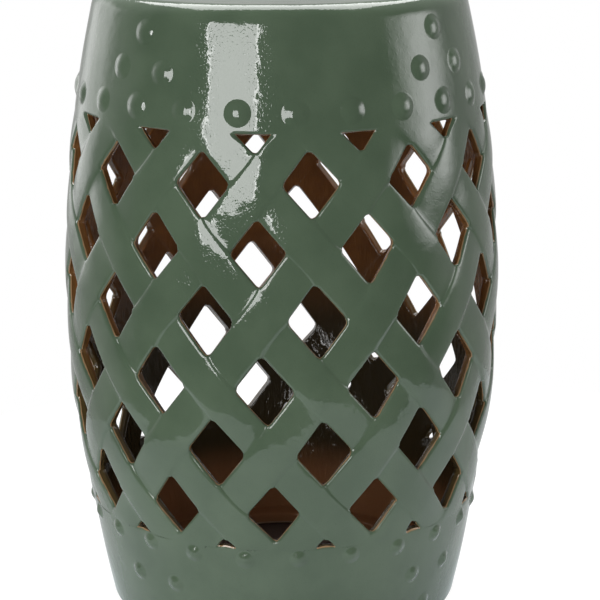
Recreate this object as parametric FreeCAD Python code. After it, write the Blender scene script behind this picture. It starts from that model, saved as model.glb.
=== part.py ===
import FreeCAD, Part
import math
import os

# Ceramic garden stool: a glazed, barrel shaped, hollow drum that stands open side down.
# The wall between two plain bands is pierced as a lattice of two families of flat straps
# that run over and under each other, and rows of round studs decorate both bands.
# Millimetres, +Z up, the origin under the middle of the foot, the front along -Y.

# Overall form.
height = 457.0
belly_radius = 160.0
rim_radius = 132.5
wall = 8.0

# Seat slab and foot.
seat_thickness = 13.0
shoulder_radius = 13.0
foot_height = 9.0
foot_width = 24.0
foot_round = 2.5
shoulder_steps = 5

# The round form is made of narrow flat sides, which leave it by under 0.2 mm.
sides_round = 78
outline_step = 50.0

# Plain bands above and below the lattice.
upper_band_height = 69.2
lower_band_height = 73.3

# Lattice: columns go round, rows go up, and a row at each edge is cut by the band.
columns = 13
full_rows = 6
cut_row_share = 0.147
opening_share = 0.53
lattice_drop = 2.5
row_crowding = 0.0046
first_column_deg = 9.35
lattice_twist_deg = 5.0
weave_depth = 2.6
ramp_overlap = 0.05
ramp_setback = 0.5
cutter_reach = 6.0

# Studs: one full row beside the lattice and four groups of three on each band.
# Their distances from the lattice and from each other are shares of the band's height.
studs_round = 24
stud_radius = 7.0
stud_height = 3.3
stud_sides = 9
stud_ring_degs = (0, 32, 66)
first_stud_deg = 4.0
upper_row_share = 0.195
lower_row_share = 0.109
upper_step_share = 0.351
lower_step_share = 0.385
stud_groups = 4
group_stud = 3

# Levels that follow from the sizes above.
seat_bottom = height - seat_thickness
lattice_top = seat_bottom - upper_band_height
lattice_bottom = foot_height + lower_band_height
lattice_height = lattice_top - lattice_bottom
lattice_middle = (lattice_top + lattice_bottom) / 2 - lattice_drop
row_pitch = lattice_height / (full_rows + cut_row_share)
column_deg = 360.0 / columns
strap_share = 1 - opening_share
stud_deg = 360.0 / studs_round

# The barrel outline is one arc through both rims and the belly.
belly_height = height / 2
belly_rise = belly_radius - rim_radius
arc_radius = (belly_height ** 2 + belly_rise ** 2) / (2 * belly_rise)
arc_centre = belly_radius - arc_radius

origin = FreeCAD.Vector(0, 0, 0)
up = FreeCAD.Vector(0, 0, 1)


def barrel_radius(z, inset=0.0):
    """Radius of the drum at a height, or of a surface that lies inset from it."""
    return arc_centre + math.sqrt((arc_radius - inset) ** 2 - (z - belly_height) ** 2)


def profile_point(z, inset=0.0):
    """Point of the barrel outline in the plane that is turned."""
    return FreeCAD.Vector(barrel_radius(z, inset), 0, z)


def profile_points(z_from, z_to, inset=0.0):
    """Points along the barrel outline, close enough to follow its curve."""
    steps = max(1, round(abs(z_to - z_from) / outline_step))
    return [profile_point(z_from + (z_to - z_from) * step / steps, inset) for step in range(steps + 1)]


def turned(points):
    """Turn a closed outline round the upright axis, as narrow flat sides."""
    sections = []
    for side in range(sides_round):
        angle = 2 * math.pi * side / sides_round
        toward = FreeCAD.Vector(math.cos(angle), math.sin(angle), 0)
        sections.append([toward * point.x + up * point.z for point in points])
    faces = []
    for side in range(sides_round):
        here = sections[side - 1]
        beyond = sections[side]
        for index in range(len(points)):
            corners = [here[index - 1], beyond[index - 1], beyond[index], here[index]]
            corners = [corner for place, corner in enumerate(corners) if corner != corners[place - 1]]
            if len(corners) > 2:
                faces.append(Part.Face(Part.makePolygon(corners + [corners[0]])))
    return Part.Solid(Part.Shell(faces)).removeSplitter()


def drum_ring(z_low, z_high):
    """A length of the drum wall."""
    return turned(profile_points(z_low, z_high) + profile_points(z_high, z_low, wall))


def turned_round(shape, degrees):
    """Copy of a shape, turned about the upright axis."""
    copy = shape.copy()
    copy.rotate(origin, up, degrees)
    return copy


def surface_point(theta_deg, z):
    """Point on the drum, with angles counted from the front towards +X."""
    theta = math.radians(theta_deg)
    radius = barrel_radius(z)
    return FreeCAD.Vector(radius * math.sin(theta), -radius * math.cos(theta), z)


def surface_normal(theta_deg, z):
    """Outward direction of the drum at that point."""
    theta = math.radians(theta_deg)
    outward = (barrel_radius(z) - arc_centre) / arc_radius
    return FreeCAD.Vector(
        outward * math.sin(theta),
        -outward * math.cos(theta),
        (z - belly_height) / arc_radius,
    )


def lattice_place(column, row):
    """Angle and height of a spot in the lattice, counted in columns and rows."""
    z = lattice_middle + row_pitch * row * (1 - row_crowding * row ** 2)
    twist = lattice_twist_deg * (z - lattice_middle) / lattice_height
    return first_column_deg + column_deg * column - twist, z


def lattice_point(column, row):
    """Point on the drum at a spot in the lattice."""
    return surface_point(*lattice_place(column, row))


def opening_cutter(column, row):
    """Diamond prism that pierces the wall square to it."""
    centre = lattice_point(column, row)
    normal = surface_normal(*lattice_place(column, row))
    corners = []
    for d_column, d_row in ((0, 1), (0.5, 0), (0, -1), (-0.5, 0)):
        corner = lattice_point(column + d_column * opening_share, row + d_row * opening_share)
        drop = (corner - centre).dot(normal)
        corners.append(corner + normal * (cutter_reach - drop))
    face = Part.Face(Part.makePolygon(corners + [corners[0]]))
    return face.extrude(normal * -(wall + 3 * cutter_reach))


def ramp_cutter(column, row, lean, climb):
    """Wedge that makes a strap dive under the strap that crosses it.

    The dive ends at the crossing at this column and row. Lean is the side to which
    the strap goes as it climbs, and climb says from which side of the row it comes."""
    near = strap_share / 2
    far = 1 - strap_share / 2
    side = lean * climb / 2
    end = lattice_point(column + side * near, row + climb * near)
    start = lattice_point(column + side * far, row + climb * far)
    place = lattice_place(column + side / 2, row + climb / 2)
    normal = surface_normal(*place)
    reach = strap_share / 2 + ramp_overlap
    low = lattice_point(column + side / 2 - side * reach, row + climb / 2 + climb * reach)
    high = lattice_point(column + side / 2 + side * reach, row + climb / 2 - climb * reach)
    across = high - low
    across = across - normal * across.dot(normal)
    run = end - start
    end = end - run * (ramp_setback / run.Length)
    profile = [
        start,
        end - normal * weave_depth,
        end + normal * cutter_reach,
        start + normal * cutter_reach,
    ]
    shifted = [point - across / 2 for point in profile]
    face = Part.Face(Part.makePolygon(shifted + [shifted[0]]))
    return face.extrude(across)


def all_round(shapes):
    """Copies of the shapes at every column."""
    turns = [column * column_deg for column in range(columns)]
    return [turned_round(shape, turn) for shape in shapes for turn in turns]


def lattice():
    """The pierced wall: every opening and ramp is made once and then repeated round."""
    openings = []
    ramps = []
    rows = full_rows + 2
    for index in range(rows):
        row = index - (rows - 1) / 2
        shift = 0.5 * (index % 2)
        openings.append(opening_cutter(shift, row))
        if index == 0 or index == rows - 1:
            continue
        lean = 1 if index % 2 else -1
        for climb in (1, -1):
            ramps.append(ramp_cutter(shift + 0.5, row, lean, climb))
    pierced = drum_ring(lattice_bottom, lattice_top).cut(all_round(openings))
    return pierced.cut(all_round(ramps))


def seat():
    """Closed slab with a rounded shoulder."""
    centre_z = height - shoulder_radius
    centre_x = barrel_radius(centre_z, shoulder_radius)
    lowest = math.asin((centre_z - belly_height) / (arc_radius - shoulder_radius))
    shoulder = []
    for step in range(shoulder_steps + 1):
        turn = lowest + (math.pi / 2 - lowest) * step / shoulder_steps
        rise = shoulder_radius * math.sin(turn)
        shoulder.append(FreeCAD.Vector(centre_x + shoulder_radius * math.cos(turn), 0, centre_z + rise))
    middle = [FreeCAD.Vector(0, 0, height), FreeCAD.Vector(0, 0, seat_bottom)]
    return turned([profile_point(seat_bottom)] + shoulder + middle)


def foot():
    """Bare ring that the stool stands on, wider inwards than the wall above it."""
    inner = rim_radius - foot_width
    bore = [FreeCAD.Vector(inner, 0, foot_height), FreeCAD.Vector(inner, 0, 0)]
    chamfer = FreeCAD.Vector(barrel_radius(0) - foot_round, 0, 0)
    return turned([profile_point(foot_height)] + bore + [chamfer, profile_point(foot_round)])


def stud(z, theta_deg):
    """Faceted dome on a flat base that lies against the drum."""
    base = surface_point(theta_deg, z)
    normal = surface_normal(theta_deg, z)
    side = normal.cross(up).normalize()
    rise = normal.cross(side)
    rings = []
    for climb_deg in stud_ring_degs:
        climb = math.radians(climb_deg)
        radius = stud_radius * math.cos(climb)
        centre = base + normal * (stud_height * math.sin(climb))
        ring = []
        for corner in range(stud_sides):
            turn = 2 * math.pi * corner / stud_sides
            ring.append(centre + (side * math.cos(turn) + rise * math.sin(turn)) * radius)
        rings.append(ring)
    outlines = [rings[0], rings[-1]]
    for lower, upper in zip(rings, rings[1:]):
        for corner in range(stud_sides):
            outlines.append([lower[corner - 1], lower[corner], upper[corner], upper[corner - 1]])
    faces = [Part.Face(Part.makePolygon(outline + [outline[0]])) for outline in outlines]
    return Part.Solid(Part.Shell(faces))


def stud_row(z):
    """One stud at every step round the drum."""
    first = stud(z, first_stud_deg)
    return [turned_round(first, step * stud_deg) for step in range(studs_round)]


def stud_triangles(z_first, step):
    """Groups of two studs and one beyond them, away from the full row."""
    middle = first_stud_deg + group_stud * stud_deg
    group = [
        stud(z_first + step, middle - stud_deg / 2),
        stud(z_first + step, middle + stud_deg / 2),
        stud(z_first + 2 * step, middle),
    ]
    studs = []
    for turn in range(stud_groups):
        for shape in group:
            studs.append(turned_round(shape, turn * 360.0 / stud_groups))
    return studs


def save(shape, node):
    """Write one node of the assembly as its own file."""
    shape.exportStep("parts/" + node + ".step")
    print(node, "solids", len(shape.Solids), "volume", round(shape.Volume))


os.makedirs("parts", exist_ok=True)

upper_row = lattice_top + upper_band_height * upper_row_share
lower_row = lattice_bottom - lower_band_height * lower_row_share
upper_step = upper_band_height * upper_step_share
lower_step = -lower_band_height * lower_step_share

save(seat(), "seat_top")
save(drum_ring(lattice_top, seat_bottom), "upper_band")
save(lattice(), "lattice_wall")
save(drum_ring(foot_height, lattice_bottom), "lower_band")
save(foot(), "foot_ring")
save(Part.Compound(stud_row(upper_row)), "upper_stud_row")
save(Part.Compound(stud_triangles(upper_row, upper_step)), "upper_stud_triangles")
save(Part.Compound(stud_row(lower_row)), "lower_stud_row")
save(Part.Compound(stud_triangles(lower_row, lower_step)), "lower_stud_triangles")
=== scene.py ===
import math
import bpy
import numpy as np
from mathutils import Matrix


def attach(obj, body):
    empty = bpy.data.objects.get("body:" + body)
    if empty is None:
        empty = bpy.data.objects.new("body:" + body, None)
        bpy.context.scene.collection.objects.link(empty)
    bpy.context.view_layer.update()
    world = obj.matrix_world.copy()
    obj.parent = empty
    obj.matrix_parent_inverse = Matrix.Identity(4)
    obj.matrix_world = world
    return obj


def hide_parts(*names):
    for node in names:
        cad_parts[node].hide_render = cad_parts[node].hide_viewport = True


# Glazed garden stool: a barrel of green glazed clay whose wall is cut as a woven lattice.
# Lengths are worked out in millimetres and turned into metres where a mesh is made.
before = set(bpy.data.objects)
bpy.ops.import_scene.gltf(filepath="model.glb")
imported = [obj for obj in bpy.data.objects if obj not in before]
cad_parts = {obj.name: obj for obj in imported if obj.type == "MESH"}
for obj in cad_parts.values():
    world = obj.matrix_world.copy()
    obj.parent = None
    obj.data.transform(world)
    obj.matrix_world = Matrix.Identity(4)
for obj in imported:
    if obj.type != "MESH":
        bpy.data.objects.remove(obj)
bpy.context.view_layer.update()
metre = 0.001
chance = np.random.default_rng(seed=11)


def addObject(name, data):
    made = bpy.data.objects.new(name, data)
    bpy.context.scene.collection.objects.link(made)
    return made


camera = {
    "place": (0.0, -1.3624, 0.593),
    "lookDownDeg": 15.19,
    "rollDeg": -0.44,
    "lens": 112.98,
    "sensor": 36.0,
    "shiftX": 0.0305,
    "farthest": 50.0,
}


def makeCamera():
    data = bpy.data.cameras.new("photoCamera")
    data.lens = camera["lens"]
    data.sensor_width = camera["sensor"]
    data.shift_x = camera["shiftX"]
    data.clip_end = camera["farthest"]
    made = addObject("photoCamera", data)
    tilt = Matrix.Rotation(math.radians(90.0 - camera["lookDownDeg"]), 4, "X")
    roll = Matrix.Rotation(math.radians(camera["rollDeg"]), 4, "Z")
    made.matrix_world = Matrix.Translation(camera["place"]) @ tilt @ roll
    bpy.context.scene.camera = made


makeCamera()
print("camera made")

# The barrel's outline: one arc from rim to rim, with the belly half way up.
barrel = {
    "height": 457.0,
    "bellyRadius": 160.0,
    "rimRadius": 132.5,
    "wall": 8.0,
    "seatThickness": 13.0,
    "shoulderRadius": 13.0,
    "footHeight": 9.0,
    "footWidth": 24.0,
    "footRound": 4.0,
    "waist": 3.0,  # the lower band is drawn in by this much
    "waistHeight": 75.0,
    "waistBelow": 100.0,  # how far the drawing in reaches down and up
    "waistAbove": 60.0,
    "unevenness": 0.22,  # of the outside
    "outOfRound": 0.35,
    "insideUnevenness": 0.25,
}
bellyHeight = barrel["height"] / 2
bellyRise = barrel["bellyRadius"] - barrel["rimRadius"]
arcRadius = (bellyHeight ** 2 + bellyRise ** 2) / (2 * bellyRise)
arcCentre = barrel["bellyRadius"] - arcRadius
seatBottom = barrel["height"] - barrel["seatThickness"]

# The lattice: openings lie in staggered rows, and the straps between them are woven.
weave = {
    "columns": 13,
    "linesPerPitch": 30,  # mesh lines from one opening to the next
    "openingLines": 16,  # how many of these lie in an opening
    "pitchWidth": 60.0,  # from strap to strap, square to them
    "rowPitch": 47.6,
    "rowCrowding": 0.0046,
    "middleHeight": 226.0,
    "firstColumnDeg": 9.35,
    "twistDeg": 5.0,
    "span": 292.5,  # the height over which the columns twist by that much
    "lowRing": -110,  # mesh rings where the bands begin
    "highRing": 84,
    "cutRow": 3.5,  # the row of openings, up and down, that a band cuts off
    "plainFrom": 2.85,  # the weave fades out from this row
    "plainRow": 3.35,  # to this one, up and down
    "straightFrom": 3.0,  # and the mesh lines even out from this row
    "straightRow": 3.29,  # to this one
    "rise": 1.15,  # how far a strap swings out and in
    "sink": 0.1,  # how far the middle of the swing lies below the bands
    "crown": 0.6,  # a strap's middle stands this much above its edges
    "rimRound": 2.0,
    "edgeWidth": 3.6,  # an over strap's edge falls away over this width
    "edgeDepth": 0.75,  # and by this much
    "innerRound": 2.2,
    "innerFollow": 0.35,  # how much of a strap's swing shows on the inside
    "slantReach": 20.0,  # the wall's cut turns level over this height on the bands
    "flare": 1.6,  # openings widen by this much on each side towards the inside
    "flareReach": 3.0,
    "sillDrop": 2.6,  # the lowest openings' straight side falls by this much inwards
    "sillReach": 5.0,
    "sillRound": 0.6,  # instead of rimRound on that side
    "backLift": 3.5,  # rows lie higher at the back
    "filletHeight": 0.6,  # glaze gathered beside an over strap
    "filletReach": 1.9,
    "cornerRound": 4.0,
    "cornerReach": 2.5,
    "handShift": 1.0,  # how far a strap wanders off its line
    "handWidth": 0.5,  # how much its width varies
    "handPaces": (0.8, 2.3, 1.5),  # how fast along the rows: two wanders and the width
}
# Where the mesh lines lie, from the edge of a strap or an opening to its middle.
strapSteps = np.array([0.0, 0.45, 1.1, 2.2, 4.2, 7.2, 10.7, 14.0])
openingSteps = np.array([0.0, 0.5, 1.2, 2.4, 4.3, 6.7, 9.5, 12.5, 16.0])
bandSteps = np.array([0.5, 1.2, 2.2, 3.6, 5.4])  # the first rings off the lattice's edge
wallSteps = (0.12, 0.4, 0.75)  # mesh lines down an opening's side
upperRings = 25  # rings on each band beyond those
lowerRings = 27
farFromRim = 12.0  # distances from a rim are kept up to here
onLine = 0.01  # a line this near a strap's edge is on it

lines = weave["linesPerPitch"]
openingLines = weave["openingLines"]
columns = weave["columns"]
around = columns * lines
openingShare = openingLines / lines
pitchWidth = weave["pitchWidth"]
halfOpening = openingShare * pitchWidth / 2
halfStrap = pitchWidth / 2 - halfOpening
columnDeg = 360.0 / columns
# Openings lie a quarter off the whole numbers of the two lattice directions, p and q.
openingPlace = 0.25
firstP = openingPlace - openingShare / 2
firstQ = -openingPlace - openingShare / 2


def smoothStep(low, high, value):
    t = np.clip((value - low) / (high - low), 0.0, 1.0)
    return t * t * (3 - 2 * t)


def fromNearest(value, place):
    return value - place - np.round(value - place)


def barrelRadius(z, inset=0.0):
    reach = np.where(z < barrel["waistHeight"], barrel["waistBelow"], barrel["waistAbove"])
    waist = barrel["waist"] * np.exp(-((z - barrel["waistHeight"]) / reach) ** 2)
    return arcCentre + np.sqrt((arcRadius - inset) ** 2 - (z - bellyHeight) ** 2) - waist


# Unevenness of the clay: the number of waves, the most lobes round and the shortest length up.
clayWaves = {
    "surface": {"count": 14, "lobes": 16, "shortest": 55.0},
    "round": {"count": 3, "lobes": 3, "shortest": 900.0},
    "inside": {"count": 12, "lobes": 20, "shortest": 40.0},
}


def makeWaves(count, lobes, shortest):
    made = []
    for _ in range(count):
        lobe = int(chance.integers(1, lobes + 1))
        climb = chance.uniform(-1, 1) * math.tau / shortest
        made.append((lobe, climb, chance.uniform(0, math.tau), chance.uniform(0.5, 1.0)))
    return made


waves = {name: makeWaves(**numbers) for name, numbers in clayWaves.items()}


def addWaves(name, turn, z):
    total = 0.0
    for lobe, climb, phase, strength in waves[name]:
        total = total + strength * np.sin(lobe * turn + climb * z + phase)
    return total / math.sqrt(len(waves[name]))


def outsideUneven(turn, z):
    fine = barrel["unevenness"] * addWaves("surface", turn, z)
    return fine + barrel["outOfRound"] * addWaves("round", turn, z)


def roundDrop(distance, radius):
    inside = np.clip(radius - distance, 0.0, radius)
    return radius - np.sqrt(radius ** 2 - inside ** 2)


def softDrop(distance, width, depth):
    return depth * np.clip(1 - distance / width, 0.0, 1.0) ** 2


def rowHeight(k):
    return weave["middleHeight"] + weave["rowPitch"] * k * (1 - weave["rowCrowding"] * k ** 2)


def turnAt(u, z):
    twist = weave["twistDeg"] * (z - weave["middleHeight"]) / weave["span"]
    return np.radians(weave["firstColumnDeg"] + columnDeg * u - twist)


def onBarrel(turn, z, lift):
    # A point on the outline at that height, lifted square to the surface.
    normalR = (barrelRadius(z) - arcCentre) / arcRadius
    normalZ = (z - bellyHeight) / arcRadius
    return turned(turn, barrelRadius(z) + lift * normalR, z + lift * normalZ)


def turned(turn, r, z):
    return np.stack([r * np.sin(turn), -r * np.cos(turn), z + 0 * turn], axis=-1)


def lineTable():
    # Where each mesh line lies between two openings, crowded at the straps' edges.
    opening = np.concatenate([openingSteps, 2 * halfOpening - openingSteps[-2::-1]])
    strap = 2 * halfOpening + np.concatenate([strapSteps, 2 * halfStrap - strapSteps[-2::-1]])
    return np.concatenate([opening, strap[1:-1]]) / pitchWidth


lineAt = lineTable()


def edgeShifts():
    # Smooth wandering of the edges of every strap of one direction, as a hand cuts them.
    phases = chance.uniform(0, math.tau, (columns, 3))

    def shift(line, k):
        strap = np.floor_divide(line, lines)
        share = np.mod(line, lines)

        def edge(number, sign):
            phase = phases[np.mod(number, columns)]
            slow, quick, width = (np.sin(pace * k + phase[..., index])
                                  for index, pace in enumerate(weave["handPaces"]))
            return weave["handShift"] * (slow + quick / 2) + sign * weave["handWidth"] * width

        inOpening = share / openingLines
        inStrap = (share - openingLines) / (lines - openingLines)
        low = edge(strap, -1)
        opening = edge(strap - 1, 1) * (1 - inOpening) + low * inOpening
        return np.where(share < openingLines, opening, low * (1 - inStrap) + edge(strap, 1) * inStrap)

    return shift


shiftP = edgeShifts()
shiftQ = edgeShifts()


def ringLists():
    # Height of each ring on the bands, up and down from the lattice.
    lowZ = rowHeight(0.5 + weave["lowRing"] / lines)
    highZ = rowHeight(0.5 + weave["highRing"] / lines)
    upSpan = seatBottom - highZ
    downSpan = lowZ - barrel["footHeight"]
    upward = np.concatenate([bandSteps, np.linspace(bandSteps[-1], upSpan, upperRings)[1:]])
    downward = np.concatenate([bandSteps, np.linspace(bandSteps[-1], downSpan, lowerRings)[1:]])
    return highZ + upward, lowZ - downward


# Where the plain rings of the seat and the foot lie.
seatShape = {
    "shoulderRings": 11,
    "shares": (0.985, 0.95, 0.88, 0.78, 0.65, 0.5, 0.35, 0.2, 0.08, 0.02),  # of the flat top's radius
    "undersideShares": (0.93, 0.6, 0.25),  # of the underside's radius
}
footShape = {
    "outsideZ": (8.0, 6.5, 5.0),
    "outsideNormal": (0.97, -0.23),
    "turnsDeg": (15.0, 30.0, 45.0, 60.0, 75.0, 90.0),
    "soleR": 119.0,
    "boreRound": 1.5,
    "boreTurnsDeg": (45.0, 90.0),
    "boreZ": 4.0,
    "ledgeR": (113.0, 117.0, 121.0, 124.0),
}


def seatRings():
    # Radius, height, normal and unevenness from the slab's lower edge to near the middle.
    shoulder = barrel["shoulderRadius"]
    centreZ = barrel["height"] - shoulder
    centreR = barrelRadius(centreZ, shoulder)
    start = math.asin((centreZ - bellyHeight) / (arcRadius - shoulder))
    startZ = centreZ + shoulder * math.sin(start)
    rings = []
    for z in (seatBottom + (startZ - seatBottom) / 2, startZ):
        rings.append((barrelRadius(z), z, math.cos(start), math.sin(start), 1.0))
    for turn in np.linspace(start, math.pi / 2, seatShape["shoulderRings"])[1:]:
        lean = (math.cos(turn), math.sin(turn))
        rings.append((centreR + shoulder * lean[0], centreZ + shoulder * lean[1], *lean, 1.0))
    for share in seatShape["shares"]:
        rings.append((centreR * share, barrel["height"], 0.0, 1.0, share ** 2))
    return rings


def footRings():
    # The same for the foot, down its outside, across its sole and up its bore.
    sole = barrel["footRound"]
    bore = barrel["rimRadius"] - barrel["footWidth"]
    soft = footShape["boreRound"]
    height = barrel["footHeight"]
    wallR = float(barrelRadius(height, barrel["wall"]))
    rings = []
    for z in (*footShape["outsideZ"], sole):
        rings.append((float(barrelRadius(z)), z, *footShape["outsideNormal"], 1.0))
    outer = float(barrelRadius(sole)) - sole
    for turn in np.radians(footShape["turnsDeg"]):
        lean = (math.cos(turn), -math.sin(turn))
        rings.append((outer + sole * lean[0], sole + sole * lean[1], *lean, math.cos(turn)))
    for r in (footShape["soleR"], bore + soft):
        rings.append((r, 0.0, 0.0, -1.0, 0.0))
    for turn in np.radians(footShape["boreTurnsDeg"]):
        lean = (-math.sin(turn), -math.cos(turn))
        rings.append((bore + soft + soft * lean[0], soft + soft * lean[1], *lean, 0.0))
    for z in (footShape["boreZ"], height - soft):
        rings.append((bore, z, -1.0, 0.0, 0.0))
    for turn in np.radians(footShape["boreTurnsDeg"]):
        lean = (-math.cos(turn), math.sin(turn))
        rings.append((bore + soft + soft * lean[0], height - soft + soft * lean[1], *lean, 0.0))
    for r in (*footShape["ledgeR"], wallR):
        rings.append((r, height, 0.0, 1.0, 0.0))
    return rings


upperZ, lowerZ = ringLists()
seatList = seatRings()
footList = footRings()
seatRing = weave["highRing"] + len(upperZ)
footRing = weave["lowRing"] - len(lowerZ)
topRing = seatRing + len(seatList)
soleRing = footRing - len(footList)
endRings = (soleRing, footRing, weave["lowRing"], weave["highRing"], seatRing, topRing)
print("rings", topRing, seatRing, footRing, soleRing)


def latticeGrid(rings):
    # Lattice places and relief of every vertex of the woven rings.
    ring, j = np.meshgrid(rings, np.arange(around), indexing="ij")
    i = ring + j
    evenP = firstP + i / lines
    evenQ = firstQ + j / lines
    k = evenP - evenQ
    fade = 1 - smoothStep(weave["straightFrom"], weave["straightRow"], np.abs(k))
    p = evenP + fade * (firstP + np.floor_divide(i, lines) + lineAt[np.mod(i, lines)] - evenP)
    q = evenQ + fade * (firstQ + np.floor_divide(j, lines) + lineAt[np.mod(j, lines)] - evenQ)
    x = fromNearest(p, openingPlace) * pitchWidth
    y = fromNearest(q, -openingPlace) * pitchWidth
    dx, dy = cornerShift(x, y)
    edge = rimDistance(x + dx, y + dy)
    woven = 1 - smoothStep(weave["plainFrom"], weave["plainRow"], np.abs(k))
    lift, drop = strapRelief(p, q, woven)
    radius = np.where(ring == weave["lowRing"], weave["sillRound"], weave["rimRound"])
    lift = lift - np.maximum(drop, roundDrop(edge, radius))

    p = p + (dx + fade * shiftP(i, k)) / pitchWidth
    q = q + (dy + fade * shiftQ(j, k)) / pitchWidth
    widenX, widenY = flareShift(x + dx, y + dy)
    inner = placeAt(p + widenX, q + widenY, fade)
    return *placeAt(p, q, fade), lift, edge, inner


def pastOpening(x):
    return np.clip(np.abs(x) - halfOpening, 0, None)


def cornerShift(x, y):
    # Draws the vertices at the corners in, which makes the openings' corners round.
    corner = weave["cornerRound"]
    ax = np.clip(np.abs(x) - (halfOpening - corner), 0, corner)
    ay = np.clip(np.abs(y) - (halfOpening - corner), 0, corner)
    fall = np.exp(-np.hypot(pastOpening(x), pastOpening(y)) / weave["cornerReach"])
    dx = np.sign(x) * (ax * np.sqrt(1 - ay ** 2 / (2 * corner ** 2)) - ax) * fall
    dy = np.sign(y) * (ay * np.sqrt(1 - ax ** 2 / (2 * corner ** 2)) - ay) * fall
    return dx, dy


def rimDistance(x, y):
    corner = weave["cornerRound"]
    outX = np.clip(np.abs(x) - (halfOpening - corner), 0, None)
    outY = np.clip(np.abs(y) - (halfOpening - corner), 0, None)
    return np.clip(np.hypot(outX, outY) - corner, 0, None)


def strapRelief(p, q, woven):
    # Straps swing over and under, and the one on top covers the crossing.
    s = fromNearest(p, openingPlace + 0.5) * pitchWidth
    t = fromNearest(q, 0.5 - openingPlace) * pitchWidth
    centreP = p - s / pitchWidth
    centreQ = q - t / pitchWidth
    inP = np.abs(s) < halfStrap + onLine
    inQ = np.abs(t) < halfStrap + onLine
    onTop = inP & inQ
    backOver = np.mod(np.round(centreP - centreQ - 0.5), 2) == 1
    swingBack = -np.cos(np.pi * (centreP - q - 0.5)) * weave["rise"] - weave["crown"] * (s / halfStrap) ** 2
    swingFore = np.cos(np.pi * (p - centreQ - 0.5)) * weave["rise"] - weave["crown"] * (t / halfStrap) ** 2
    lift = np.where(np.where(onTop, backOver, inP), swingBack, swingFore) - weave["sink"]
    lift = np.where(inP | inQ, lift, -weave["sink"])

    # Its edges fall away, and glaze has gathered beside them on the strap below.
    fromEdge = np.where(backOver, halfStrap - np.abs(s), halfStrap - np.abs(t))
    below = (inQ & ~inP & backOver) | (inP & ~inQ & ~backOver)
    fillet = weave["filletHeight"] * np.exp(np.minimum(fromEdge, 0) / weave["filletReach"])
    drop = np.where(onTop, woven * softDrop(fromEdge, weave["edgeWidth"], weave["edgeDepth"]), 0.0)
    return woven * (lift + np.where(below, fillet, 0.0)), drop


def placeAt(p, q, fade):
    # Turn and height of a lattice place.
    k = p - q
    turn = turnAt((p + q) / 2, rowHeight(k))
    z = rowHeight(k) + fade * weave["backLift"] * (1 - np.cos(turn)) / 2
    return turn, z


def flareShift(x, y):
    # Draws the inner skin back from the openings.
    reach = weave["flareReach"]
    scale = weave["flare"] / pitchWidth
    shifts = []
    for across, along in ((x, y), (y, x)):
        near = np.exp(-np.abs(np.abs(across) - halfOpening) / reach)
        beside = np.exp(-pastOpening(along) / reach)
        shifts.append(np.sign(across) * near * beside * scale)
    return shifts


def ringColumns(rings):
    # Column, counted round the barrel, of every vertex of these rings.
    ring, j = np.meshgrid(rings, np.arange(around), indexing="ij")
    return (firstP + firstQ + (ring + 2 * j) / lines) / 2


def bandEdge(rings, z, edgeRing):
    # Distance from the straight side of the openings that a band cuts off.
    side = 1 if edgeRing > 0 else -1
    k = 0.5 + edgeRing / lines
    arc = math.radians(columnDeg) * barrelRadius(z)
    half = (openingShare / 2 - abs(k - side * weave["cutRow"]) / 2) * arc
    x = fromNearest(ringColumns(rings), 0.5 if side > 0 else 0.0) * arc
    return np.hypot(np.clip(np.abs(x) - half, 0, None), np.abs(z - rowHeight(k)))


def sillFall(gap):
    return weave["sillDrop"] * np.exp(-gap / weave["sillReach"])


def profileRows(rings, table):
    # Points of plain rings given as radius, height, normal and unevenness.
    r, z, normalR, normalZ, share = (np.array(column)[:, None] for column in zip(*table))
    turn = turnAt(ringColumns(rings), z)
    lift = share * outsideUneven(turn, z)
    return turned(turn, r + lift * normalR, z + lift * normalZ)


def bandSkin(rings, heights, edgeRing):
    # Outside and inside of one band, and the distance from the openings that it cuts off.
    column = ringColumns(rings)
    z = heights[:, None] + 0 * column
    turn = turnAt(column, z)
    gap = bandEdge(rings, z, edgeRing)
    isLower = edgeRing < 0
    rounding = weave["sillRound"] if isLower else weave["rimRound"]
    sill = sillFall(gap) if isLower else 0.0
    outer = onBarrel(turn, z, outsideUneven(turn, z) - roundDrop(gap, rounding))
    slant = 1 - smoothStep(0.0, weave["slantReach"], np.abs(z - rowHeight(0.5 + edgeRing / lines)))
    inner = innerRow(turn, z - sill, roundDrop(gap, weave["innerRound"]), slant)
    return outer, inner, gap


def makeSkin():
    # The outer skin from the foot's inner edge to the seat's middle, ring by ring.
    low = weave["lowRing"]
    high = weave["highRing"]
    woven = np.arange(low, high + 1)
    turn, z, lift, edge, (innerTurn, innerZ) = latticeGrid(woven)
    middle = onBarrel(turn, z, lift + outsideUneven(turn, z))
    innerZ = innerZ - sillFall(bandEdge(woven, z, low))
    innerLift = roundDrop(edge, weave["innerRound"]) + weave["innerFollow"] * lift
    innerMiddle = innerRow(innerTurn, innerZ, innerLift, 1.0)
    below, innerBelow, edgeBelow = bandSkin(np.arange(footRing, low), lowerZ[::-1], low)
    above, innerAbove, edgeAbove = bandSkin(np.arange(high + 1, seatRing + 1), upperZ, high)
    seat = profileRows(np.arange(seatRing + 1, topRing + 1), seatList)
    foot = profileRows(np.arange(soleRing, footRing), footList[::-1])
    outer = np.concatenate([foot, below, middle, above, seat])
    inner = np.concatenate([innerBelow, innerMiddle, innerAbove])
    far = [np.full(rows.shape[:2], farFromRim) for rows in (foot, seat)]
    edges = np.concatenate([far[0], edgeBelow, edge, edgeAbove, far[1]])
    return outer, inner, np.minimum(edges, farFromRim)


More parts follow.
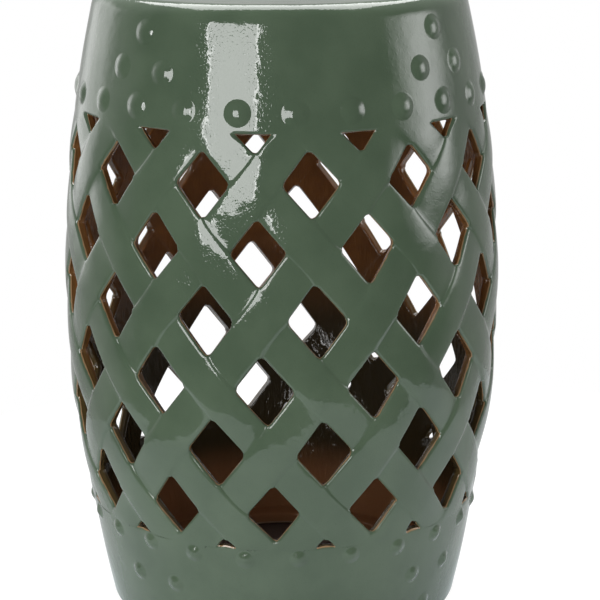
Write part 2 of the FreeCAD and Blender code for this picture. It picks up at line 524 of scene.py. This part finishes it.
def innerRow(turn, z, lift, slant):
    # The inner surface lies a wall's thickness in, square to the wall or level with it.
    wall = barrel["wall"]
    normalZ = (z - bellyHeight) / arcRadius
    level = z - slant * wall * normalZ
    lift = lift + barrel["insideUnevenness"] * addWaves("inside", turn, z)
    return turned(turn, barrelRadius(level, wall) + lift, level)


def faceRows(*corners):
    # Faces from arrays with their first corners, their second ones, and so on.
    return np.stack(np.broadcast_arrays(*corners), axis=1)


def skinFaces():
    # Diamond cells between rings, as quads, and as triangles where pieces or openings end.
    faces = []
    low = weave["lowRing"]
    high = weave["highRing"]
    everywhere = np.full(around, True)
    j = np.arange(around)
    for ring in range(soleRing, topRing + 1):
        left = (ring - soleRing) * around + j
        right = (ring - soleRing) * around + np.mod(j + 1, around)
        top = left + around
        bottom = right - around
        clay = (np.mod(ring + j, lines) >= openingLines) | (np.mod(j, lines) >= openingLines)
        above = clay if low <= ring < high else everywhere
        below = clay if low < ring <= high else everywhere
        if ring not in endRings:
            faces.append((ring, faceRows(left, bottom, right, top)[above]))
            continue
        if ring < topRing:
            faces.append((ring + 0.5, faceRows(left, right, top)[above]))
        if ring > soleRing:
            faces.append((ring - 0.5, faceRows(left, bottom, right)[below]))
    return faces


def faceNormals(points, faces):
    # Twice the area times the normal, from a quad's diagonals or a triangle's sides.
    a, b, c = points[faces[:, 0]], points[faces[:, 1]], points[faces[:, 2]]
    if faces.shape[1] == 4:
        return np.cross(c - a, points[faces[:, 3]] - b)
    return np.cross(b - a, c - a)


def addNormals(points, groups):
    total = np.zeros_like(points)
    for faces in groups:
        normals = faceNormals(points, faces)
        for corner in range(faces.shape[1]):
            np.add.at(total, faces[:, corner], normals)
    length = np.linalg.norm(total, axis=1, keepdims=True)
    return total / np.where(length > 0, length, 1.0)


def makeMesh(name, points, faceGroups, normals, flatGroups, edgeDistance):
    # An object with these faces, whose shading follows the normals of the whole barrel.
    groups = faceGroups + flatGroups
    used = np.unique(np.concatenate([faces.ravel() for faces in groups]))
    place = np.zeros(len(points), dtype=np.int64)
    place[used] = np.arange(len(used))
    sizes = np.concatenate([np.full(len(faces), faces.shape[1]) for faces in groups])
    corners = np.concatenate([place[faces].ravel() for faces in groups])
    mesh = bpy.data.meshes.new(name)
    mesh.vertices.add(len(used))
    mesh.vertices.foreach_set("co", (points[used] * metre).ravel())
    mesh.loops.add(len(corners))
    mesh.loops.foreach_set("vertex_index", corners.astype(np.int32))
    mesh.polygons.add(len(sizes))
    mesh.polygons.foreach_set("loop_start", (np.cumsum(sizes) - sizes).astype(np.int32))
    mesh.polygons.foreach_set("use_smooth", np.ones(len(sizes), dtype=bool))
    mesh.update(calc_edges=True)
    attribute = mesh.attributes.new("edgeDistance", "FLOAT", "POINT")
    attribute.data.foreach_set("value", edgeDistance[used].astype(np.float32))
    loopNormals = [normals[faces].reshape(-1, 3) for faces in faceGroups]
    for faces in flatGroups:
        flat = faceNormals(points, faces)
        flat = flat / np.linalg.norm(flat, axis=1, keepdims=True)
        loopNormals.append(np.repeat(flat, faces.shape[1], axis=0))
    mesh.normals_split_custom_set(np.concatenate(loopNormals).tolist())
    mesh.validate()
    made = addObject(name, mesh)
    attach(made, "root")
    return made


def boundaryEdges(faceList):
    # Directed edges that have no partner running the other way.
    starts = np.concatenate([faces.ravel() for faces in faceList])
    ends = np.concatenate([np.roll(faces, -1, axis=1).ravel() for faces in faceList])
    big = int(max(starts.max(), ends.max())) + 1
    forward = starts * big + ends
    alone = ~np.isin(forward, ends * big + starts)
    return starts[alone], ends[alone]


def makeBarrel():
    # Points, normals, faces by piece, and each point's distance from a rim, negative inwards.
    outer, inner, edges = makeSkin()
    outerPoints = outer.reshape(-1, 3)
    innerPoints = inner.reshape(-1, 3)
    outerCount = len(outerPoints)
    skip = (footRing - soleRing) * around  # inner rings begin at the foot
    labelled = skinFaces()
    insideFaces = [(ring, faces[:, ::-1] - skip + outerCount)
                   for ring, faces in labelled if footRing < ring < seatRing]
    pieces = {}
    for name, low, high in zip(pieceNames, endRings, endRings[1:]):
        pieces[name] = {
            "outer": [faces for ring, faces in labelled if low < ring < high],
            "inner": [faces for ring, faces in insideFaces if low < ring < high],
        }
    sideEdges = {name: boundaryEdges(pieces[name]["outer"]) for name in hollowPieces}

    # Sides of the openings and of the pieces' ends join the two skins.
    needed = np.unique(np.concatenate([vertices for edge in sideEdges.values() for vertices in edge]))
    steps = len(wallSteps)
    columnAt = np.zeros(outerCount, dtype=np.int64)
    columnAt[needed] = np.arange(len(needed)) * steps + outerCount + len(innerPoints)
    top = outerPoints[needed][:, None]
    bottom = innerPoints[needed - skip][:, None]
    share = np.array(wallSteps)[None, :, None]
    wallPoints = (top + (bottom - top) * share).reshape(-1, 3)
    points = np.concatenate([outerPoints, innerPoints, wallPoints])
    depth = np.linalg.norm(bottom - top, axis=2) * share[..., 0]
    innerEdges = edges.reshape(-1)[skip:skip + len(innerPoints)]
    edgeDistance = np.concatenate([edges.ravel(), -barrel["wall"] - innerEdges, -depth.ravel()])

    def wallLevel(vertex, level):
        if level == 0:
            return vertex
        if level > steps:
            return vertex - skip + outerCount
        return columnAt[vertex] + level - 1

    def wallFaces(a, b):
        quads = []
        for level in range(steps + 1):
            quads.append(faceRows(wallLevel(b, level), wallLevel(a, level),
                                  wallLevel(a, level + 1), wallLevel(b, level + 1)))
        return np.concatenate(quads)

    # Edges that are free on the whole skin lie at openings, and the others at a piece's end.
    freeEdges = set(zip(*(ends.tolist() for ends in boundaryEdges([faces for _, faces in labelled]))))
    smooth = [faces for _, faces in labelled] + [faces for _, faces in insideFaces]
    for name, (a, b) in sideEdges.items():
        atOpening = np.array([pair in freeEdges for pair in zip(a.tolist(), b.tolist())])
        pieces[name]["walls"] = wallFaces(a[atOpening], b[atOpening])
        pieces[name]["caps"] = wallFaces(a[~atOpening], b[~atOpening])
        smooth.append(pieces[name]["walls"])
    return points, addNormals(points, smooth), pieces, edgeDistance


nodeOf = {"lowerBand": "lower_band", "lattice": "lattice_wall", "upperBand": "upper_band",
          "seat": "seat_top", "foot": "foot_ring"}
pieceNames = ("foot", "lowerBand", "lattice", "upperBand", "seat")  # upwards, as endRings
hollowPieces = pieceNames[1:4]
points, normals, skinPieces, edgeDistance = makeBarrel()
here = np.arange(around)
after = np.mod(here + 1, around)


def makeHollow(name):
    piece = skinPieces[name]
    smooth = piece["outer"] + piece["inner"] + [piece["walls"]]
    return makeMesh(name + "Glazed", points, smooth, normals, [piece["caps"]], edgeDistance)


def makeSeat():
    # The slab's skin, closed in the middle above and by a flat underside.
    start = (seatRing - soleRing) * around
    last = (topRing - soleRing) * around
    rim = points[start:start + around]
    extra = [np.array([[0.0, 0.0, barrel["height"]]])]
    rings = [start + here]
    offset = len(points) + 1
    for share in seatShape["undersideShares"]:
        extra.append(rim * np.array([share, share, 1.0]))
        rings.append(offset + here)
        offset += around
    extra = np.concatenate(extra + [np.array([[0.0, 0.0, seatBottom]])])
    crown = faceRows(last + here, last + after, len(points))
    under = []
    for wide, narrow in zip(rings, rings[1:]):
        under.append(faceRows(wide, narrow, narrow[after], wide[after]))
    under.append(faceRows(rings[-1][after], rings[-1], offset))
    distance = np.full(len(extra), -farFromRim)  # the underside is brown, as the inside is
    distance[0] = farFromRim
    upward = np.tile([0.0, 0.0, 1.0], (len(extra), 1))
    return makeMesh("seatGlazed", np.concatenate([points, extra]), skinPieces["seat"]["outer"] + [crown],
                    np.concatenate([normals, upward]), under, np.concatenate([edgeDistance, distance]))


def makeFoot():
    # The foot's skin, closed by a flat ring on which the lower band stands.
    turnBack = (footRing - soleRing) // 2
    top = (footRing - soleRing) * around
    cap = faceRows(here, top + np.mod(here - turnBack, around),
                   top + np.mod(here + 1 - turnBack, around), after)
    return makeMesh("footRing", points, skinPieces["foot"]["outer"], normals, [cap], edgeDistance)


made = {name: makeHollow(name) for name in hollowPieces}
made["seat"] = makeSeat()
made["foot"] = makeFoot()
for name, node in nodeOf.items():
    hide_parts(node)
print("barrel made,", sum(len(piece.data.polygons) for piece in made.values()), "faces")

studs = {
    "around": 24,
    "firstDeg": 4.0,
    "groups": 4,
    "groupStud": 3,
    "reach": 9.8,  # where the glaze round a stud runs out into the band
    "spokes": 36,
    "tilt": 0.25,  # how crooked a stud's top is
    "sink": 0.04,  # how far the outer edge lies in the glaze
    "handShift": 0.4,  # how far a stud sits off its place
    "handRadius": 145.0,  # about the barrel's radius there
    "handSize": 0.05,  # by what shares its size and height vary
    "handHeight": 0.1,
    "upper": {"row": 388.7, "step": 24.3, "size": 1.0, "height": 2.35, "fullness": 2.5},
    "lower": {"row": 74.3, "step": -28.2, "size": 0.8, "height": 2.4, "fullness": 2.0},
}
studRings = np.linspace(0.08, 1.0, 14)  # shares of the reach, from the middle outwards


def studPoints(turnDeg, z, form):
    # A low dome that follows the barrel and runs out into it without an edge.
    z = z + chance.normal() * studs["handShift"]
    turn = math.radians(turnDeg) + chance.normal() * studs["handShift"] / studs["handRadius"]
    size = form["size"] * (1 + chance.uniform(-1, 1) * studs["handSize"])
    height = form["height"] * (1 + chance.uniform(-1, 1) * studs["handHeight"])
    spoke = np.arange(studs["spokes"]) * math.tau / studs["spokes"]
    ring, angle = np.meshgrid(studRings, spoke, indexing="ij")
    out = ring * studs["reach"] * size
    lift = height * (1 - ring ** form["fullness"]) ** 2 - studs["sink"]
    crooked = studs["tilt"] * np.cos(angle - chance.uniform(0, math.tau))
    lift = lift + crooked * ring * (1 - ring ** 2)
    slopeZ = (z - bellyHeight) / arcRadius
    spotZ = z + out * np.sin(angle) * math.cos(math.asin(slopeZ))
    spotTurn = turn + out * np.cos(angle) / barrelRadius(spotZ)
    points = onBarrel(spotTurn, spotZ, lift + outsideUneven(spotTurn, spotZ)).reshape(-1, 3)
    top = onBarrel(np.array([turn]), np.array([z]), height + outsideUneven(turn, z))
    return np.concatenate([points, top])


def studFaces():
    spokes = studs["spokes"]
    j = np.arange(spokes)
    beside = np.mod(j + 1, spokes)
    quads = []
    for ring in range(len(studRings) - 1):
        high = ring * spokes
        low = high + spokes
        quads.append(faceRows(low + j, low + beside, high + beside, high + j))
    return np.concatenate(quads), faceRows(j, beside, len(studRings) * spokes)


def makeStuds(name, node, places, form):
    cloud = np.concatenate([studPoints(turnDeg, z, form) for turnDeg, z in places])
    starts = np.arange(len(places)) * (len(cloud) // len(places))
    groups = [np.concatenate([faces + start for start in starts]) for faces in studFaces()]
    piece = makeMesh(name, cloud, groups, addNormals(cloud, groups), [], np.full(len(cloud), farFromRim))
    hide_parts(node)
    return piece


def makeStudBand(side):
    # A full row of studs beside the lattice, and groups of three beyond it.
    form = studs[side]
    studDeg = 360.0 / studs["around"]
    row = [(studs["firstDeg"] + stud * studDeg, form["row"]) for stud in range(studs["around"])]
    middle = studs["firstDeg"] + studs["groupStud"] * studDeg
    near = form["row"] + form["step"]
    groups = []
    for group in range(studs["groups"]):
        at = middle + group * 360.0 / studs["groups"]
        groups += [(at - studDeg / 2, near), (at + studDeg / 2, near), (at, near + form["step"])]
    return [makeStuds(side + "StudRow", side + "_stud_row", row, form),
            makeStuds(side + "StudTriangles", side + "_stud_triangles", groups, form)]


studPieces = makeStudBand("upper") + makeStudBand("lower")
print("studs made")


def addNode(tree, kind):
    return tree.nodes.new("ShaderNode" + kind)


def nodeMaterial(name):
    material = bpy.data.materials.new(name)
    material.use_nodes = True
    return material, material.node_tree


socketKinds = {1: "NodeSocketFloat", 3: "NodeSocketVector", 4: "NodeSocketColor"}  # by size
grey = (0.5, 0.5, 0.5, 1.0)


def newGroup(name, inputs, outputs):
    group = bpy.data.node_groups.new(name, "ShaderNodeTree")
    for label, value in inputs.items():
        kind = socketKinds[np.size(value)]
        group.interface.new_socket(label, in_out="INPUT", socket_type=kind).default_value = value
    for label, size in outputs.items():
        group.interface.new_socket(label, in_out="OUTPUT", socket_type=socketKinds[size])
    entry = group.nodes.new("NodeGroupInput")
    result = group.nodes.new("NodeGroupOutput")
    return group, entry.outputs, result.inputs


def setOrLink(tree, value, socket):
    if isinstance(value, (int, float, tuple)):
        socket.default_value = value
    else:
        tree.links.new(value, socket)


def placeGroup(tree, group, values):
    node = addNode(tree, "Group")
    node.node_tree = group
    for label, value in values.items():
        setOrLink(tree, value, node.inputs[label])
    return node.outputs


def addNoise(tree, place, scale, detail):
    noise = addNode(tree, "TexNoise")
    tree.links.new(place, noise.inputs["Vector"])
    setOrLink(tree, scale, noise.inputs["Scale"])
    noise.inputs["Detail"].default_value = detail
    return noise.outputs["Fac"]


def addMath(tree, operation, first, second, clamp=False):
    node = addNode(tree, "Math")
    node.operation = operation
    node.use_clamp = clamp
    for socket, value in zip(node.inputs, (first, second)):
        setOrLink(tree, value, socket)
    return node.outputs[0]


def addRange(tree, value, low, high, toLow=0.0, toHigh=1.0):
    node = addNode(tree, "MapRange")
    node.interpolation_type = "SMOOTHSTEP"
    tree.links.new(value, node.inputs["Value"])
    for label, number in zip(("From Min", "From Max", "To Min", "To Max"), (low, high, toLow, toHigh)):
        node.inputs[label].default_value = number
    return node.outputs["Result"]


def addMix(tree, share, first, second, kind="Color"):
    # From the first colour to the second, or number where the kind is Float.
    node = addNode(tree, "Mix")
    node.data_type = "RGBA" if kind == "Color" else "FLOAT"
    sockets = {socket.identifier: socket for socket in (*node.inputs, *node.outputs)}
    for label, value in (("Factor_Float", share), ("A_" + kind, first), ("B_" + kind, second)):
        setOrLink(tree, value, sockets[label])
    return sockets["Result_" + kind]


def addSplit(tree, vector):
    split = addNode(tree, "SeparateXYZ")
    tree.links.new(vector, split.inputs["Vector"])
    return split.outputs


def addVectors(tree, operation, *vectors):
    node = addNode(tree, "VectorMath")
    node.operation = operation
    for socket, vector in zip(node.inputs, vectors):
        tree.links.new(vector, socket)
    return node.outputs


def objectPlace(tree):
    return addNode(tree, "TexCoord").outputs["Object"]


def isRay(tree, kind):
    return addNode(tree, "LightPath").outputs["Is " + kind + " Ray"]


# A noise is its scale, in waves to a metre, and its detail. Heights are beside the swell's.
texture = {
    "cloudDetail": 3.0,
    "cloudRange": (0.3, 0.7),
    "speckNoise": (1100.0, 2.0),
    "speckRange": (0.55, 0.8, 0.0, 0.5),
    "bumpNoise": (760.0, 0.0),  # sparse bumps that fray the edges of reflections
    "bumpRange": (0.55, 0.8, 0.0, 0.06),
    "peelNoise": (900.0, 1.0),
    "peelHeight": 0.01,
    "swellNoise": (60.0, 2.0),
    "streakNoise": (240.0, 3.0),
}
rimLine = {
    "wanderNoise": (160.0, 3.0),
    "wander": 0.6,
    "toGlaze": (0.05, 0.35),  # distances over which one colour turns into the next
    "toRim": (-0.4, -0.1),
    "toSide": (-8.0, -2.0),
    "inside": (-1.0, -4.0),  # where the inside's relief takes over
}


def unevenGlaze():
    # Glaze that lies thicker in soft clouds, with fine specks, and its orange peel.
    tree, entry, result = newGroup(
        "unevenGlaze",
        {"Thin Color": grey, "Thick Color": grey, "Cloud Scale": 22.0, "Stretch": (1.0, 1.0, 1.0),
         "Streak Depth": 0.0},
        {"Color": 4, "Height": 1})
    place = objectPlace(tree)
    clouds = addNoise(tree, place, entry["Cloud Scale"], texture["cloudDetail"])
    specks = addNoise(tree, place, *texture["speckNoise"])
    share = addRange(tree, clouds, *texture["cloudRange"])
    share = addMath(tree, "ADD", share, addRange(tree, specks, *texture["speckRange"]), True)
    color = addMix(tree, share, entry["Thin Color"], entry["Thick Color"])
    tree.links.new(color, result["Color"])

    bumps = addNoise(tree, place, *texture["bumpNoise"])
    bumps = addRange(tree, bumps, *texture["bumpRange"])
    peel = addNoise(tree, place, *texture["peelNoise"])
    peel = addMath(tree, "MULTIPLY", peel, texture["peelHeight"])
    peel = addMath(tree, "ADD", peel, bumps)
    swell = addNoise(tree, place, *texture["swellNoise"])
    stretched = addVectors(tree, "MULTIPLY", place, entry["Stretch"])["Vector"]
    streaks = addNoise(tree, stretched, *texture["streakNoise"])
    streaks = addMath(tree, "MULTIPLY", streaks, entry["Streak Depth"])
    height = addMath(tree, "ADD", addMath(tree, "ADD", peel, swell), streaks)
    tree.links.new(height, result["Height"])
    return tree


def rimBreak():
    # Colour by the distance from a rim: glaze outside, a tan line on the rim, brown within.
    tree, entry, result = newGroup(
        "rimBreak",
        {"Distance": 0.0, "Glaze Color": grey, "Rim Color": grey, "Side Color": grey, "Inside Color": grey},
        {"Color": 4, "Inside": 1})
    wander = addNoise(tree, objectPlace(tree), *rimLine["wanderNoise"])
    wander = addMath(tree, "SUBTRACT", wander, 0.5)
    wander = addMath(tree, "MULTIPLY", wander, rimLine["wander"])
    distance = addMath(tree, "ADD", entry["Distance"], wander)
    color = entry["Inside Color"]
    for label, reach in (("Side Color", "toSide"), ("Rim Color", "toRim"), ("Glaze Color", "toGlaze")):
        share = addRange(tree, distance, *rimLine[reach])
        color = addMix(tree, share, color, entry[label])
    tree.links.new(color, result["Color"])
    tree.links.new(addRange(tree, distance, *rimLine["inside"]), result["Inside"])
    return tree


glaze = {
    "thinGreen": (0.077, 0.111, 0.071, 1.0),
    "thickGreen": (0.060, 0.090, 0.056, 1.0),
    "rimTan": (0.28, 0.172, 0.088, 1.0),
    "sideBrown": (0.135, 0.062, 0.021, 1.0),  # on the openings' sides, above the middle
    "sideShade": (0.070, 0.048, 0.018, 1.0),  # and below it, darker as painted shade
    "highBrown": (0.245, 0.096, 0.026, 1.0),  # inside, above the middle
    "highDark": (0.16, 0.064, 0.020, 1.0),
    "deepShadeBrown": (0.040, 0.029, 0.013, 1.0),  # inside, below it, darker as painted shade
    "deepShadeReach": (0.25, 0.15),  # heights between which painted shade darkens the inside downwards
    "lowLightBrown": (0.32, 0.145, 0.065, 1.0),  # near the foot, lighter as painted light
    # heights between which painted light lightens the inside towards the foot
    "lowLightReach": (0.070, 0.030),
    "roughness": 0.04,
    "swellDepth": 0.0004,
    "streakDepth": 2.2,  # of the marks inside, beside the swell's depth
    "insideCloud": 35.0,
    "insideStretch": (1.0, 1.0, 0.22),
}
unevenGroup = unevenGlaze()
rimGroup = rimBreak()


def insideBrownAndPaintedLight():
    # The brown glaze inside, darkened downwards by painted shade and lightened near the foot by painted
    # light.
    tree, entry, result = newGroup(
        "insideBrownAndPaintedLight",
        {"Thin Color": grey, "Thick Color": grey, "Deep Shade Color": grey, "Low Light Color": grey},
        {"Color": 4, "Height": 1, "Deep": 1})
    brown = placeGroup(tree, unevenGroup, {
        "Thin Color": entry["Thin Color"], "Thick Color": entry["Thick Color"],
        "Cloud Scale": glaze["insideCloud"], "Stretch": glaze["insideStretch"],
        "Streak Depth": glaze["streakDepth"]})
    height = addSplit(tree, objectPlace(tree))["Z"]
    # Painted shade darkens it downwards, and painted light lightens it near the foot.
    deepShade = addRange(tree, height, *glaze["deepShadeReach"])
    low = addRange(tree, height, *glaze["lowLightReach"])
    color = addMix(tree, deepShade, brown["Color"], entry["Deep Shade Color"])
    color = addMix(tree, low, color, entry["Low Light Color"])
    for label, value in (("Color", color), ("Height", brown["Height"]), ("Deep", deepShade)):
        tree.links.new(value, result[label])
    return tree


brownGroup = insideBrownAndPaintedLight()


def brownGlazeAndPaintedLight(tree):
    return placeGroup(tree, brownGroup, {
        "Thin Color": glaze["highBrown"], "Thick Color": glaze["highDark"],
        "Deep Shade Color": glaze["deepShadeBrown"], "Low Light Color": glaze["lowLightBrown"]})


def greenGlaze(tree):
    colors = {"Thin Color": glaze["thinGreen"], "Thick Color": glaze["thickGreen"]}
    return placeGroup(tree, unevenGroup, colors)


def addBump(tree, share, first, second):
    # Relief that goes from the first height to the second, on the material's shader.
    bump = addNode(tree, "Bump")
    bump.inputs["Distance"].default_value = glaze["swellDepth"]
    tree.links.new(addMix(tree, share, first, second, "Float"), bump.inputs["Height"])
    tree.links.new(bump.outputs["Normal"], tree.nodes["Principled BSDF"].inputs["Normal"])


def jadeGlaze():
    material, tree = nodeMaterial("jadeGlaze")
    shader = tree.nodes["Principled BSDF"]
    shader.inputs["Roughness"].default_value = glaze["roughness"]
    green = greenGlaze(tree)
    brown = brownGlazeAndPaintedLight(tree)
    edge = addNode(tree, "Attribute")
    edge.attribute_name = "edgeDistance"
    rim = placeGroup(tree, rimGroup, {
        "Distance": edge.outputs["Fac"], "Glaze Color": green["Color"], "Rim Color": glaze["rimTan"],
        # The openings' sides darken below the middle as painted shade.
        "Side Color": addMix(tree, brown["Deep"], glaze["sideBrown"], glaze["sideShade"]),
        "Inside Color": brown["Color"]})
    tree.links.new(rim["Color"], shader.inputs["Base Color"])
    addBump(tree, rim["Inside"], green["Height"], brown["Height"])
    return material


footLook = {
    "clay": (0.52, 0.36, 0.23, 1.0),
    "clayDark": (0.40, 0.27, 0.17, 1.0),
    "clayRoughness": 0.8,
    "clayCloud": 60.0,
    "grit": 0.6,
    "boreEdge": (0.126, 0.127),  # the glaze is brown inside this radius, and green outside it
    "wipedReach": (0.0014, 0.0010),  # the glaze is wiped off below these heights
    "wander": 0.0016,
    "wanderNoise": (45.0, 2.0),
}


def footGlaze():
    # Green down to a wiped line above the sole, bare clay on it, and brown in the bore.
    material, tree = nodeMaterial("footGlaze")
    shader = tree.nodes["Principled BSDF"]
    place = objectPlace(tree)
    green = greenGlaze(tree)
    clay = placeGroup(tree, unevenGroup, {
        "Thin Color": footLook["clay"], "Thick Color": footLook["clayDark"],
        "Cloud Scale": footLook["clayCloud"], "Streak Depth": footLook["grit"]})
    split = addSplit(tree, place)
    flat = addNode(tree, "CombineXYZ")
    tree.links.new(split["X"], flat.inputs["X"])
    tree.links.new(split["Y"], flat.inputs["Y"])
    radius = addVectors(tree, "LENGTH", flat.outputs["Vector"])["Value"]
    outside = addRange(tree, radius, *footLook["boreEdge"])
    # The bore takes the inside's brown, lightened there by painted light.
    glazed = addMix(tree, outside, brownGlazeAndPaintedLight(tree)["Color"], green["Color"])
    wander = addNoise(tree, place, *footLook["wanderNoise"])
    wander = addMath(tree, "MULTIPLY", wander, footLook["wander"])
    height = addMath(tree, "SUBTRACT", split["Z"], wander)
    bare = addRange(tree, height, *footLook["wipedReach"])
    tree.links.new(addMix(tree, bare, glazed, clay["Color"]), shader.inputs["Base Color"])
    roughness = addRange(tree, bare, 0.0, 1.0, glaze["roughness"], footLook["clayRoughness"])
    tree.links.new(roughness, shader.inputs["Roughness"])
    addBump(tree, bare, green["Height"], clay["Height"])
    return material


jade = jadeGlaze()
for name, piece in made.items():
    piece.data.materials.append(footGlaze() if name == "foot" else jade)
for piece in studPieces:
    piece.data.materials.append(jade)
print("glaze made")

room = {
    "target": (0.0, 0.0, 0.25),
    "rimShares": (0.07, 0.016),  # a softbox's brighter edge, as shares of its width and height
    "ambient": 0.24,  # world light on the object
    "glossyLevels": (0.10, 0.55),  # what the glaze sees of the room in front and behind
    "glossyReach": (-0.2, 0.3),
}
# Soft is the share of the width and height over which a box fades in from its sides.
softboxes = {
    "keySoftbox": {"turn": -25.5, "rise": 11.0, "away": 2.0, "width": 1.0, "height": 1.0, "glow": 9.2,
                   "soft": (0.01, 0.01), "rim": 0.8},
    "rightSoftbox": {"turn": 85.0, "rise": 11.0, "away": 1.6, "width": 1.45, "height": 1.2, "glow": 5.0,
                     "soft": (0.5, 0.38), "rim": 0.0},
    "leftPanel": {"turn": -129.0, "rise": 10.0, "away": 1.5, "width": 1.46, "height": 1.3, "glow": 1.35,
                  "soft": (0.35, 0.25), "rim": 0.0},
    "overheadPanel": {"turn": 180.0, "rise": 67.0, "away": 1.5, "width": 1.5, "height": 1.25, "glow": 6.0,
                      "soft": (0.06, 0.06), "rim": 0.0},
}


def makeSoftbox(name, box):
    data = bpy.data.lights.new(name, "AREA")
    data.shape = "RECTANGLE"
    data.size = box["width"]
    data.size_y = box["height"]
    data.energy = box["glow"] * math.pi * box["width"] * box["height"]
    data.use_nodes = True
    tree = data.node_tree
    spot = addSplit(tree, addNode(tree, "NewGeometry").outputs["Parametric"])
    share = 1.0
    rim = 1.0
    for axis, soft, edge in zip("XY", box["soft"], room["rimShares"]):
        off = addMath(tree, "ABSOLUTE", addMath(tree, "SUBTRACT", spot[axis], 0.5), 0.0)
        inward = addMath(tree, "SUBTRACT", 0.5, off)
        share = addMath(tree, "MULTIPLY", addRange(tree, inward, 0.0, soft), share)
        rim = addMath(tree, "MULTIPLY", addRange(tree, inward, edge / 2, edge), rim)
    rim = addMath(tree, "MULTIPLY", addMath(tree, "SUBTRACT", 1.0, rim), box["rim"])
    share = addMath(tree, "MULTIPLY", share, addMath(tree, "ADD", rim, 1.0))
    tree.links.new(share, tree.nodes["Emission"].inputs["Strength"])
    lamp = addObject(name, data)
    turn = math.radians(box["turn"])
    rise = math.radians(box["rise"])
    x, y, z = room["target"]
    lamp.location = (
        x + box["away"] * math.sin(turn) * math.cos(rise),
        y - box["away"] * math.cos(turn) * math.cos(rise),
        z + box["away"] * math.sin(rise),
    )
    lamp.rotation_euler = (math.pi / 2 - rise, 0.0, turn)


def makeWorld():
    # Seen as white, a little light on the object, and darker in front than behind for the glaze.
    world = bpy.data.worlds.new("studio")
    bpy.context.scene.world = world
    world.use_nodes = True
    tree = world.node_tree
    toward = addSplit(tree, addNode(tree, "TexCoord").outputs["Generated"])
    glossy = addRange(tree, toward["Y"], *room["glossyReach"], *room["glossyLevels"])
    strength = room["ambient"]
    for kind, value in (("Glossy", glossy), ("Camera", 1.0)):
        strength = addMix(tree, isRay(tree, kind), strength, value, "Float")
    background = tree.nodes["Background"]
    background.inputs["Color"].default_value = (1.0, 1.0, 1.0, 1.0)
    tree.links.new(strength, background.inputs["Strength"])


floorLook = {
    "radius": 0.52,
    "place": (0.06, 0.0, -0.0001),
    "corners": 96,
    "roughness": 0.6,
    "white": (0.82, 0.82, 0.82, 1.0),
    "shade": (0.06, 0.035, 0.025, 1.0),  # painted shade on the ground inside the foot
    "shadeEdge": (0.112, 0.125),  # radius at which it turns white
    "glow": (1.0, 1.0, 1.0, 1.0),
    "glowStrength": 1.12,
    "glowShare": 0.85,  # the rest keeps the shadow
    "mirrored": (0.86, 0.97, 1.02, 1.0),  # the floor as the green glaze shows it
    "behind": (0.45, 0.45, 0.45, 1.0),  # and its white, as seen there behind the stool
    "behindFrom": (-0.15, 0.15),  # from front to back
    "mirroredShares": (0.7, 0.2),  # of the glow in front and behind
}


def makeFloor():
    # A round white table top, seen as white outside the foot, that keeps a faint shadow, and has painted
    # shade inside the foot.
    mesh = bpy.data.meshes.new("studioFloor")
    x, y, z = floorLook["place"]
    count = floorLook["corners"]
    size = floorLook["radius"]
    corners = []
    for turn in np.arange(count) * math.tau / count:
        corners.append((x + size * math.cos(turn), y + size * math.sin(turn), z))
    mesh.from_pydata(corners, [], [list(range(count))])
    floor = addObject("studioFloor", mesh)
    material, tree = nodeMaterial("tableWhite")
    shader = tree.nodes["Principled BSDF"]
    shader.inputs["Roughness"].default_value = floorLook["roughness"]
    glossy = isRay(tree, "Glossy")
    place = objectPlace(tree)
    behind = addRange(tree, addSplit(tree, place)["Y"], *floorLook["behindFrom"])
    behind = addMath(tree, "MULTIPLY", glossy, behind)
    radius = addVectors(tree, "LENGTH", place)["Value"]
    # Inside the foot the floor is painted dark as shade.
    outside = addRange(tree, radius, *floorLook["shadeEdge"])
    white = addMix(tree, behind, floorLook["white"], floorLook["behind"])
    tree.links.new(addMix(tree, outside, floorLook["shade"], white), shader.inputs["Base Color"])

    glow = addNode(tree, "Emission")
    glow.inputs["Strength"].default_value = floorLook["glowStrength"]
    tint = addMix(tree, glossy, floorLook["glow"], floorLook["mirrored"])
    tree.links.new(tint, glow.inputs["Color"])
    mirrored = addRange(tree, behind, 0.0, 1.0, *floorLook["mirroredShares"])
    mirrored = addMath(tree, "MULTIPLY", glossy, mirrored)
    seen = addMath(tree, "MAXIMUM", isRay(tree, "Camera"), mirrored)
    share = addMath(tree, "MULTIPLY", seen, outside)
    share = addMath(tree, "MULTIPLY", share, floorLook["glowShare"])
    mix = addNode(tree, "MixShader")
    tree.links.new(share, mix.inputs["Fac"])
    tree.links.new(shader.outputs["BSDF"], mix.inputs[1])
    tree.links.new(glow.outputs["Emission"], mix.inputs[2])
    tree.links.new(mix.outputs["Shader"], tree.nodes["Material Output"].inputs["Surface"])
    mesh.materials.append(material)


for name, box in softboxes.items():
    makeSoftbox(name, box)
makeWorld()
makeFloor()
print("room made")

bpy.context.scene.view_settings.view_transform = "Standard"
